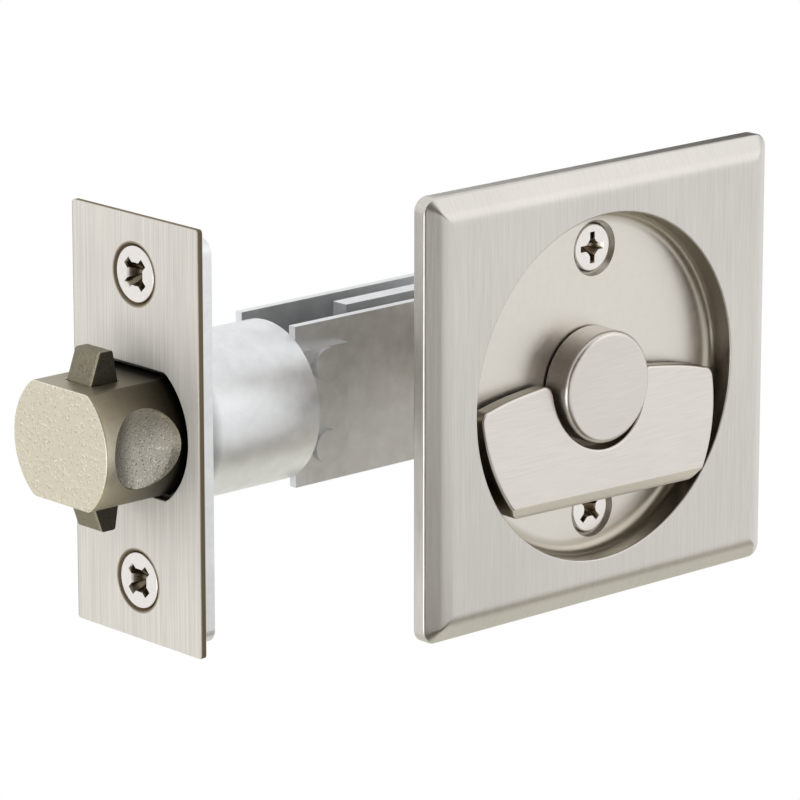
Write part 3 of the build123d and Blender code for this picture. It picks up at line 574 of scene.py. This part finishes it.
# Face plate screws: two short steel wood screws with flat heads, cross recesses and rolled threads that run out to a
# point, bright nickel plated. They are driven into the door edge, with their crosses turned to the diagonal.
wood_top_x = face_x + 0.12
wood_head_radius, wood_shank_radius, wood_screw_long, wood_pitch, wood_point = 4.0, 2.0, 11.5, 1.5, 4.0
wood_cross_span, wood_cross_arm, wood_cross_turn = 4.8, 1.25, 45
# wood_shade paints shade into the colour below the head's top: dark down the cross recess, plain again on the thread.
wood_shade = [(0, (1, 1, 1)), (0.15, (1, 1, 1)), (0.4, (0.27, 0.24, 0.18)), (2.2, (0.14, 0.12, 0.09)),
              (2.6, (1, 1, 1))]
# rim_shade paints a ring of shade on the head's outer rim, where it meets the seat.
rim_shade = [(0, (1, 1, 1)), (3.74, (1, 1, 1)), (3.86, (0.42, 0.36, 0.24)), (4.3, (0.42, 0.36, 0.24)),
             (4.5, (1, 1, 1)), (60, (1, 1, 1))]
wood_screw = metal("wood_screw", (0.80, 0.765, 0.73), 0.24, (1500, 1500, 1500), spread=0.05, relief=0.03,
                   painted_light_and_shade=[((wood_top_x, 0, 0), (1, 0, 0), wood_shade),
                          ((0, latch_y, face_screw_z), (0, 1, 1), rim_shade),
                          ((0, latch_y, -face_screw_z), (0, 1, 1), rim_shade)])
for height, name in ((face_screw_z, "face_plate_screw_upper"), (-face_screw_z, "face_plate_screw_lower")):
    top = (wood_top_x, latch_y, height)
    screw = solid(name, [screw_shell(top, (-1, 0, 0), wood_head_radius, wood_shank_radius, wood_screw_long, wood_pitch,
                                     wood_point)])
    drill(screw, [cross_tool(top, (-1, 0, 0), wood_cross_turn, wood_cross_span, wood_cross_arm)])
    finish(screw, [wood_screw], "lock", "screw_plating", "face_plate_screws")

# Backing plate and latch tube: a steel plate behind the face plate, and the round drawn body that the bolt slides
# in, set through it; both bright zinc plated. They sit inside the door edge.
# mouth_shade paints shade: within about 11 mm of the bolt hole's middle, where the backing plate and tube show round
# the bolt, their zinc is painted nearly black.
mouth_shade = [(0, (0.1, 0.095, 0.085)), (10.9, (0.1, 0.095, 0.085)), (12.3, (1, 1, 1)), (70, (1, 1, 1))]
zinc_mouth_painted_shade = metal("zinc_mouth_painted_shade", (0.80, 0.81, 0.82), 0.4, (420, 420, 420), spread=0.1, cloud=160,
                   painted_light_and_shade=[((face_x, latch_y, 0), (1, 1, 1), mouth_shade)])
keep("backing_plate", zinc_mouth_painted_shade)
keep("latch_tube", zinc_mouth_painted_shade)

# Hub case: two side plates stamped from steel sheet and zinc plated, with a bearing hole each for the hub. Four
# shouldered rivets hold them to the tube's ears and at their distance from each other.
keep("case_side_near", zinc_steel)
keep("case_side_far", zinc_steel)
keep("case_rivets", zinc_steel)

# Hub and crank pin: a turned steel hub with a square hole for the spindle, borne in the two side plates, and a drawn
# pin set in its arm. The pin runs in the tail's slot and draws it back as the turn is swung.
keep("hub", bright_steel)
keep("crank_pin", bright_steel)

# Tail: a strap stamped and folded from steel, zinc plated, that reaches from the crank to a fork inside the bolt.
# The fork's slanted slots draw the claws in, and its end then draws the bolt by a cross pin.
keep("tail_fork", zinc_steel)

# Bolt: a die casting, round with flats above and below and a finger dimple on each side, plated over the cast skin;
# slots above and below let the claws out. Its sides, flats and dimples are painted darker than its front as painted
# shade, with painted highlights along the front's rim and the sides' front edge and painted light on the dimples' rear
# halves.
bolt_front, bolt_length = -73.0, 25.0
claw_setback, claw_wide, claw_base = 3.3, 5.2, 4.4
claw_gap, leg_gap = 0.12, 0.25
leg_front, leg_rear = claw_setback + 2 * claw_gap, claw_setback + 8.3
fork_half_wide, fork_half_high, leg_half_wide, leg_half_high = 5.47, 4.97, 4.22, 6.52
bolt_front_round, bolt_rear_round = 0.25, 0.3
dimple_x, dimple_radius, dimple_floor, dimple_curve = bolt_front + 6.8, 5.25, 6.95, 27.6


def bolt_rings():
    """The bolt's section carried along its axis and drawn in round the front and rear edges."""
    angle = np.linspace(0, 2 * np.pi, 288, endpoint=False)
    line = rounded_line([(2.0, 0, 0), (0, 0, bolt_front_round), (0, bolt_length, bolt_rear_round),
                         (2.0, bolt_length, 0)], steps=8)
    rings = []
    for inset, along in line:
        radius = bolt_section(angle, 0) - inset
        rings.append(np.stack((np.full(len(angle), bolt_front + along), latch_y + radius * np.cos(angle),
                               radius * np.sin(angle)), -1))
    faces = grid_faces(len(rings), len(angle))
    faces += [list(range(len(angle))), list(range((len(rings) - 1) * len(angle), len(rings) * len(angle)))]
    return np.array(rings), faces


def box(low, high):
    """A plain box between two corners."""
    pick = np.array(((0, 0, 0), (1, 0, 0), (1, 1, 0), (0, 1, 0), (0, 0, 1), (1, 0, 1), (1, 1, 1), (0, 1, 1)))
    points = np.where(pick == 0, np.array(low, float), np.array(high, float))
    return points, [[0, 1, 2, 3], [4, 5, 6, 7], [0, 1, 5, 4], [1, 2, 6, 5], [2, 3, 7, 6], [3, 0, 4, 7]]


def dimple_tool(side):
    """A dished round hollow: a parabola, the floor plus the squared radius over the curve, turned about the dimple's
    axis, then a wall that opens slightly outward."""
    reach = np.linspace(0, dimple_radius, 25)
    dish = np.stack((reach, dimple_floor + reach**2 / dimple_curve), -1)
    line = np.concatenate((dish, [(dimple_radius + 0.12, 8.2), (dimple_radius + 0.35, 11.0), (0, 11.0)]))
    return lathe(line, (dimple_x, latch_y, 0), (0, side, 0), 96)


bolt = solid("bolt_skin", [bolt_rings()])
claw_x = bolt_front + claw_setback
half_slot = claw_wide / 2 + claw_gap
drill(bolt, [box((claw_x - claw_gap, latch_y - half_slot, -12),
                 (claw_x + claw_base + claw_gap, latch_y + half_slot, 12))])
drill(bolt, [box((claw_x + claw_gap, latch_y - fork_half_wide, -fork_half_high),
                 (bolt_front + bolt_length + 5, latch_y + fork_half_wide, fork_half_high))])
drill(bolt, [box((claw_x + claw_gap, latch_y - leg_half_wide, -leg_half_high),
                 (bolt_front + leg_rear + leg_gap, latch_y + leg_half_wide, leg_half_high))])
for side in (1, -1):
    drill(bolt, [dimple_tool(side)])
# rim_light paints a highlight on the rounded rim of the bolt's front.
rim_light = [(0, (1, 1, 1)), (0.02, (1, 1, 1)), (0.07, (1.28, 1.28, 1.32)), (0.4, (1.28, 1.28, 1.32))]
# side_painted_light_and_shade paints a highlight along the sides' front edge and shade that deepens towards the face
# plate, nearly black where the bolt meets it.
side_painted_light_and_shade = [(0, (2.1, 2.1, 2.05)), (1.3, (1.6, 1.6, 1.58)), (4.5, (1, 1, 1)), (8.5, (0.48, 0.47, 0.45)),
              (11, (0.17, 0.16, 0.15)), (12.7, (0.07, 0.065, 0.06))]
# crown_painted_light_and_shade paints shade near the top of each side and a little light at mid height and below.
crown_painted_light_and_shade = [(0, (0.62, 0.6, 0.54)), (4.5, (0.66, 0.63, 0.56)), (9, (1.1, 1.1, 1.1)), (12, (1.15, 1.15, 1.15)),
               (17.4, (0.95, 0.92, 0.82))]
# flat_shade paints shade on the flats above and below, deepening from the front towards the face plate.
flat_shade = [(0, (0.82, 0.82, 0.8)), (4, (0.72, 0.71, 0.68)), (7.5, (0.5, 0.48, 0.43)), (10.5, (0.16, 0.15, 0.13)),
              (12.7, (0.06, 0.055, 0.05))]
# dish_painted_light_and_shade paints the dimples dark at their front and light towards their rear, as the shade and
# light in a dish.
dish_painted_light_and_shade = [(0, (0.27, 0.27, 0.26)), (2.6, (0.45, 0.45, 0.44)), (4.8, (1.05, 1.05, 1.05)), (7.5, (1.2, 1.2, 1.2)),
              (10.5, (1.4, 1.4, 1.4))]
cast_front = metal("cast_front", (0.665, 0.62, 0.50), 0.42, (1300, 1300, 1300), spread=0.06, relief=0.2, cloud=90,
                   painted_light_and_shade=[((bolt_front, 0, 0), (1, 0, 0), rim_light)], painted_grit=(2500, 0.26))
# The sides take a darker copy of the front's metal, painted shade.
cast_side_painted_shade = metal("cast_side_painted_shade", (0.26, 0.24, 0.195), 0.42, (1300, 1300, 1300), spread=0.1, relief=0.3, cloud=200,
                  painted_light_and_shade=[((bolt_front, 0, 0), (1, 0, 0), side_painted_light_and_shade), ((0, 0, bolt_radius), (0, 0, 1), crown_painted_light_and_shade)],
                  painted_grit=(2200, 0.06))
# The flats take a darker copy of the front's metal, painted shade.
cast_flat_painted_shade = metal("cast_flat_painted_shade", (0.46, 0.425, 0.33), 0.42, (1300, 1300, 1300), spread=0.1, relief=0.3, cloud=200,
                  painted_light_and_shade=[((bolt_front, 0, 0), (1, 0, 0), flat_shade)], painted_grit=(2200, 0.06))
# The dimples take a darker copy of the front's metal with strong painted grit, painted shade and light.
cast_dish_painted_light_and_shade = metal("cast_dish_painted_light_and_shade", (0.42, 0.40, 0.35), 0.42, (1300, 1300, 1300), spread=0.12, relief=0.3, cloud=300,
                  painted_light_and_shade=[((dimple_x - dimple_radius, 0, 0), (1, 0, 0), dish_painted_light_and_shade)], painted_grit=(3600, 0.6))
finish(bolt, [cast_front, cast_side_painted_shade, cast_flat_painted_shade, cast_dish_painted_light_and_shade], "bolt", "cast_bolt", "bolt")
# Faces behind the front take the painted copies: dimple floors the dish's, level flats the flats', the rest the sides'.
middles = face_rows(bolt, "center") * 1000
normals = face_rows(bolt, "normal")
behind = middles[:, 0] > bolt_front + 0.15
level = np.abs(normals[:, 2]) > 0.97
in_round = np.hypot(middles[:, 0] - dimple_x, middles[:, 2]) < dimple_radius + 0.3
below_skin = np.hypot(middles[:, 1] - latch_y, middles[:, 2]) < bolt_radius - 0.03
outside = np.abs(middles[:, 1] - latch_y) > 6.5
dished = in_round & below_skin & outside
share_out(bolt, np.where(dished, 3, np.where(level, 2, 1)) * behind)

# Bolt pin: a drawn steel pin pressed across the bolt behind the fork. It lets the tail run free while the claws go
# in, and then takes the bolt along with it.
keep("bolt_pin", bright_steel)

# Claws: two sintered steel hooks that stand out of the bolt above and below when it is locked, each with a leg inside
# the bolt that carries a follower pin for the tail's slanted slot.
claw_tip, claw_rear_lean, claw_high = 2.1, 0.75, 4.2
claw_foot, leg_inside, leg_outside = 4.75, 2.85, 4.1
leg_top, leg_bottom = 6.4, -1.0
root_round, tip_round, cheek_round = 0.6, 0.35, 0.3


def claw_shells(side):
    """The hook's outline, with rounded tips, carried across the bolt and drawn in at both cheeks; then its bridge and
    leg as plain blocks."""
    rear = claw_setback + claw_base
    top = bolt_flat + claw_high
    outline = rounded_line([(claw_setback, claw_foot, 0), (claw_setback, bolt_flat, root_round),
                            (rear - claw_rear_lean - claw_tip, top, tip_round),
                            (rear - claw_rear_lean, top, tip_round), (rear, bolt_flat, root_round),
                            (rear, claw_foot, 0)], steps=6)
    middle = outline.mean(0)
    reach = outline - middle
    rings = []
    for inset, across in rounded_line([(0.8, -claw_wide / 2, 0), (0, -claw_wide / 2, cheek_round),
                                       (0, claw_wide / 2, cheek_round), (0.8, claw_wide / 2, 0)]):
        loop = middle + reach * (1 - inset / np.maximum(np.abs(reach).max(0), 0.1))
        rings.append(np.stack((bolt_front + loop[:, 0], np.full(len(loop), latch_y + across), side * loop[:, 1]), -1))
    faces = grid_faces(len(rings), len(outline))
    faces += [list(range(len(outline))), list(range((len(rings) - 1) * len(outline), len(rings) * len(outline)))]
    heights = sorted((side * leg_bottom, side * leg_top))
    cheeks = sorted((latch_y + side * leg_inside, latch_y + side * leg_outside))
    leg = box((bolt_front + leg_front, cheeks[0], heights[0]), (bolt_front + leg_rear, cheeks[1], heights[1]))
    heights = sorted((side * claw_foot, side * leg_top))
    cheeks = sorted((latch_y, latch_y + side * leg_outside))
    bridge = box((bolt_front + leg_front, cheeks[0], heights[0]), (bolt_front + rear, cheeks[1], heights[1]))
    return [(np.array(rings), faces), leg, bridge]


# cheek_painted_light_and_shade paints shade on the near cheek of each claw and a highlight along the rounded edges
# beside it.
cheek_painted_light_and_shade = [(0, (0.25, 0.25, 0.27)), (0.1, (0.28, 0.28, 0.29)), (0.2, (1.5, 1.5, 1.5)), (0.4, (1.4, 1.4, 1.4)),
               (0.7, (1, 1, 1)), (5, (1, 1, 1))]
sintered_claw = metal("sintered_claw", (0.235, 0.215, 0.155), 0.5, (1600, 1600, 1600), spread=0.16, relief=0.4,
                      cloud=500, painted_light_and_shade=[((0, latch_y - claw_wide / 2, 0), (0, 1, 0), cheek_painted_light_and_shade)], painted_grit=(3400, 0.35))
for side, name in ((1, "upper_claw"), (-1, "lower_claw")):
    claw = solid(name + "_skin", claw_shells(side))
    finish(claw, [sintered_claw], name, "sintered_claw", name)
    keep(name + "_pin", bright_steel)

# Studio: a white room with a round pale floor well below the lock, fading to white at its rim, two soft boxes, and
# dark cards in front, above, below and behind that give the metal something to reflect. Cards and lamps don't show
# to the camera.
azimuth, elevation, distance = radians(-42.32), radians(14.85), 0.67072
target = Vector((-0.0341, 0, 0.00355))
back = Vector((sin(azimuth) * cos(elevation), -cos(azimuth) * cos(elevation), sin(elevation)))
lens = bpy.data.cameras.new("camera")
focal_pixels, picture_pixels, sensor_wide = 5152.19, 800, 36
lens.lens = focal_pixels / picture_pixels * sensor_wide
camera = bpy.data.objects.new("camera", lens)
camera.location = target + back * distance
camera.rotation_mode = "QUATERNION"
camera.rotation_quaternion = (-back).to_track_quat("-Z", "Y")
bpy.context.scene.collection.objects.link(camera)
bpy.context.scene.camera = camera
world = bpy.data.worlds.new("studio")
bpy.context.scene.world = world
world.use_nodes = True
world.node_tree.nodes["Background"].inputs["Color"].default_value = (1, 1, 1, 1)
world.node_tree.nodes["Background"].inputs["Strength"].default_value = 1
bpy.context.scene.view_settings.view_transform = "Standard"


def card(name, place, direction, reach, wide, high, tone):
    """A card that faces a place on the lock from a direction, seen in reflections but not by the camera."""
    out = Vector(direction).normalized()
    turn = out.to_track_quat("Z", "Y").to_matrix()
    middle = Vector(place) + out * reach
    signs = ((-1, -1), (1, -1), (1, 1), (-1, 1))
    corners = [middle + turn @ Vector((x * wide / 2, y * high / 2, 0)) for x, y in signs]
    mesh = bpy.data.meshes.new(name)
    mesh.from_pydata([tuple(corner / 1000) for corner in corners], [], [[0, 1, 2, 3]])
    paint = bpy.data.materials.new(name)
    paint.use_nodes = True
    shader = paint.node_tree.nodes["Principled BSDF"]
    shader.inputs["Base Color"].default_value = (*tone, 1)
    shader.inputs["Roughness"].default_value = 0.9
    mesh.materials.append(paint)
    flag = bpy.data.objects.new(name, mesh)
    bpy.context.scene.collection.objects.link(flag)
    flag.visible_camera = False


brown = (0.10, 0.08, 0.055)
card("dark_card_left", (0, 0, 0), (-0.743, -0.669, 0.035), 200, 125, 430, brown)
card("dark_card_above", (0, 0, 0), (-0.198, -0.795, 0.574), 200, 140, 140, brown)
card("dark_card_front", (0, 0, 0), (-0.036, -0.681, -0.731), 200, 200, 138, brown)
card("dark_card_low", (0, 0, -25), (0.66, -0.45, -0.60), 300, 320, 75, (0.47, 0.44, 0.37))
card("dark_card_top", (0, -1, 30), (0.651, 0.715, 0.256), 30, 70, 14, (0.24, 0.24, 0.23))


def lamp(name, direction, reach, size, power):
    """A square soft box facing the lock from a direction."""
    light = bpy.data.lights.new(name, "AREA")
    light.shape = "SQUARE"
    light.size = size
    light.energy = power
    out = Vector(direction).normalized()
    holder = bpy.data.objects.new(name, light)
    holder.location = target + out * reach
    holder.rotation_mode = "QUATERNION"
    holder.rotation_quaternion = out.to_track_quat("Z", "Y")
    holder.visible_camera = False
    bpy.context.scene.collection.objects.link(holder)


lamp("soft_box", (0.65, -0.60, 0.38), 0.8, 0.45, 0.3)
lamp("left_box", (-0.93, -0.20, -0.25), 0.8, 0.3, 0.9)
floor_radius, floor_z, floor_sides = 1.2, -0.6, 96
turn = np.linspace(0, 2 * np.pi, floor_sides, endpoint=False)
rim = np.stack((floor_radius * np.cos(turn), floor_radius * np.sin(turn), np.full(floor_sides, floor_z)), -1)
floor_mesh = bpy.data.meshes.new("floor")
floor_mesh.from_pydata(rim.tolist(), [], [list(range(floor_sides))])
floor_paint = bpy.data.materials.new("floor_paint")
floor_paint.use_nodes = True
nodes, links = floor_paint.node_tree.nodes, floor_paint.node_tree.links
level = nodes.new("ShaderNodeMapping")
level.inputs["Scale"].default_value = (1, 1, 0)
reach = nodes.new("ShaderNodeVectorMath")
reach.operation = "LENGTH"
fade = nodes.new("ShaderNodeValToRGB")
fade.color_ramp.elements[0].position = 0.75
fade.color_ramp.elements[0].color = (0.80, 0.79, 0.71, 1)
fade.color_ramp.elements[1].color = (1, 1, 1, 1)
links.new(nodes.new("ShaderNodeTexCoord").outputs["Object"], level.inputs["Vector"])
links.new(level.outputs["Vector"], reach.inputs[0])
links.new(reach.outputs["Value"], fade.inputs["Fac"])
links.new(fade.outputs["Color"], nodes["Principled BSDF"].inputs["Base Color"])
nodes["Principled BSDF"].inputs["Roughness"].default_value = 0.8
floor_mesh.materials.append(floor_paint)
floor = bpy.data.objects.new("floor", floor_mesh)
bpy.context.scene.collection.objects.link(floor)
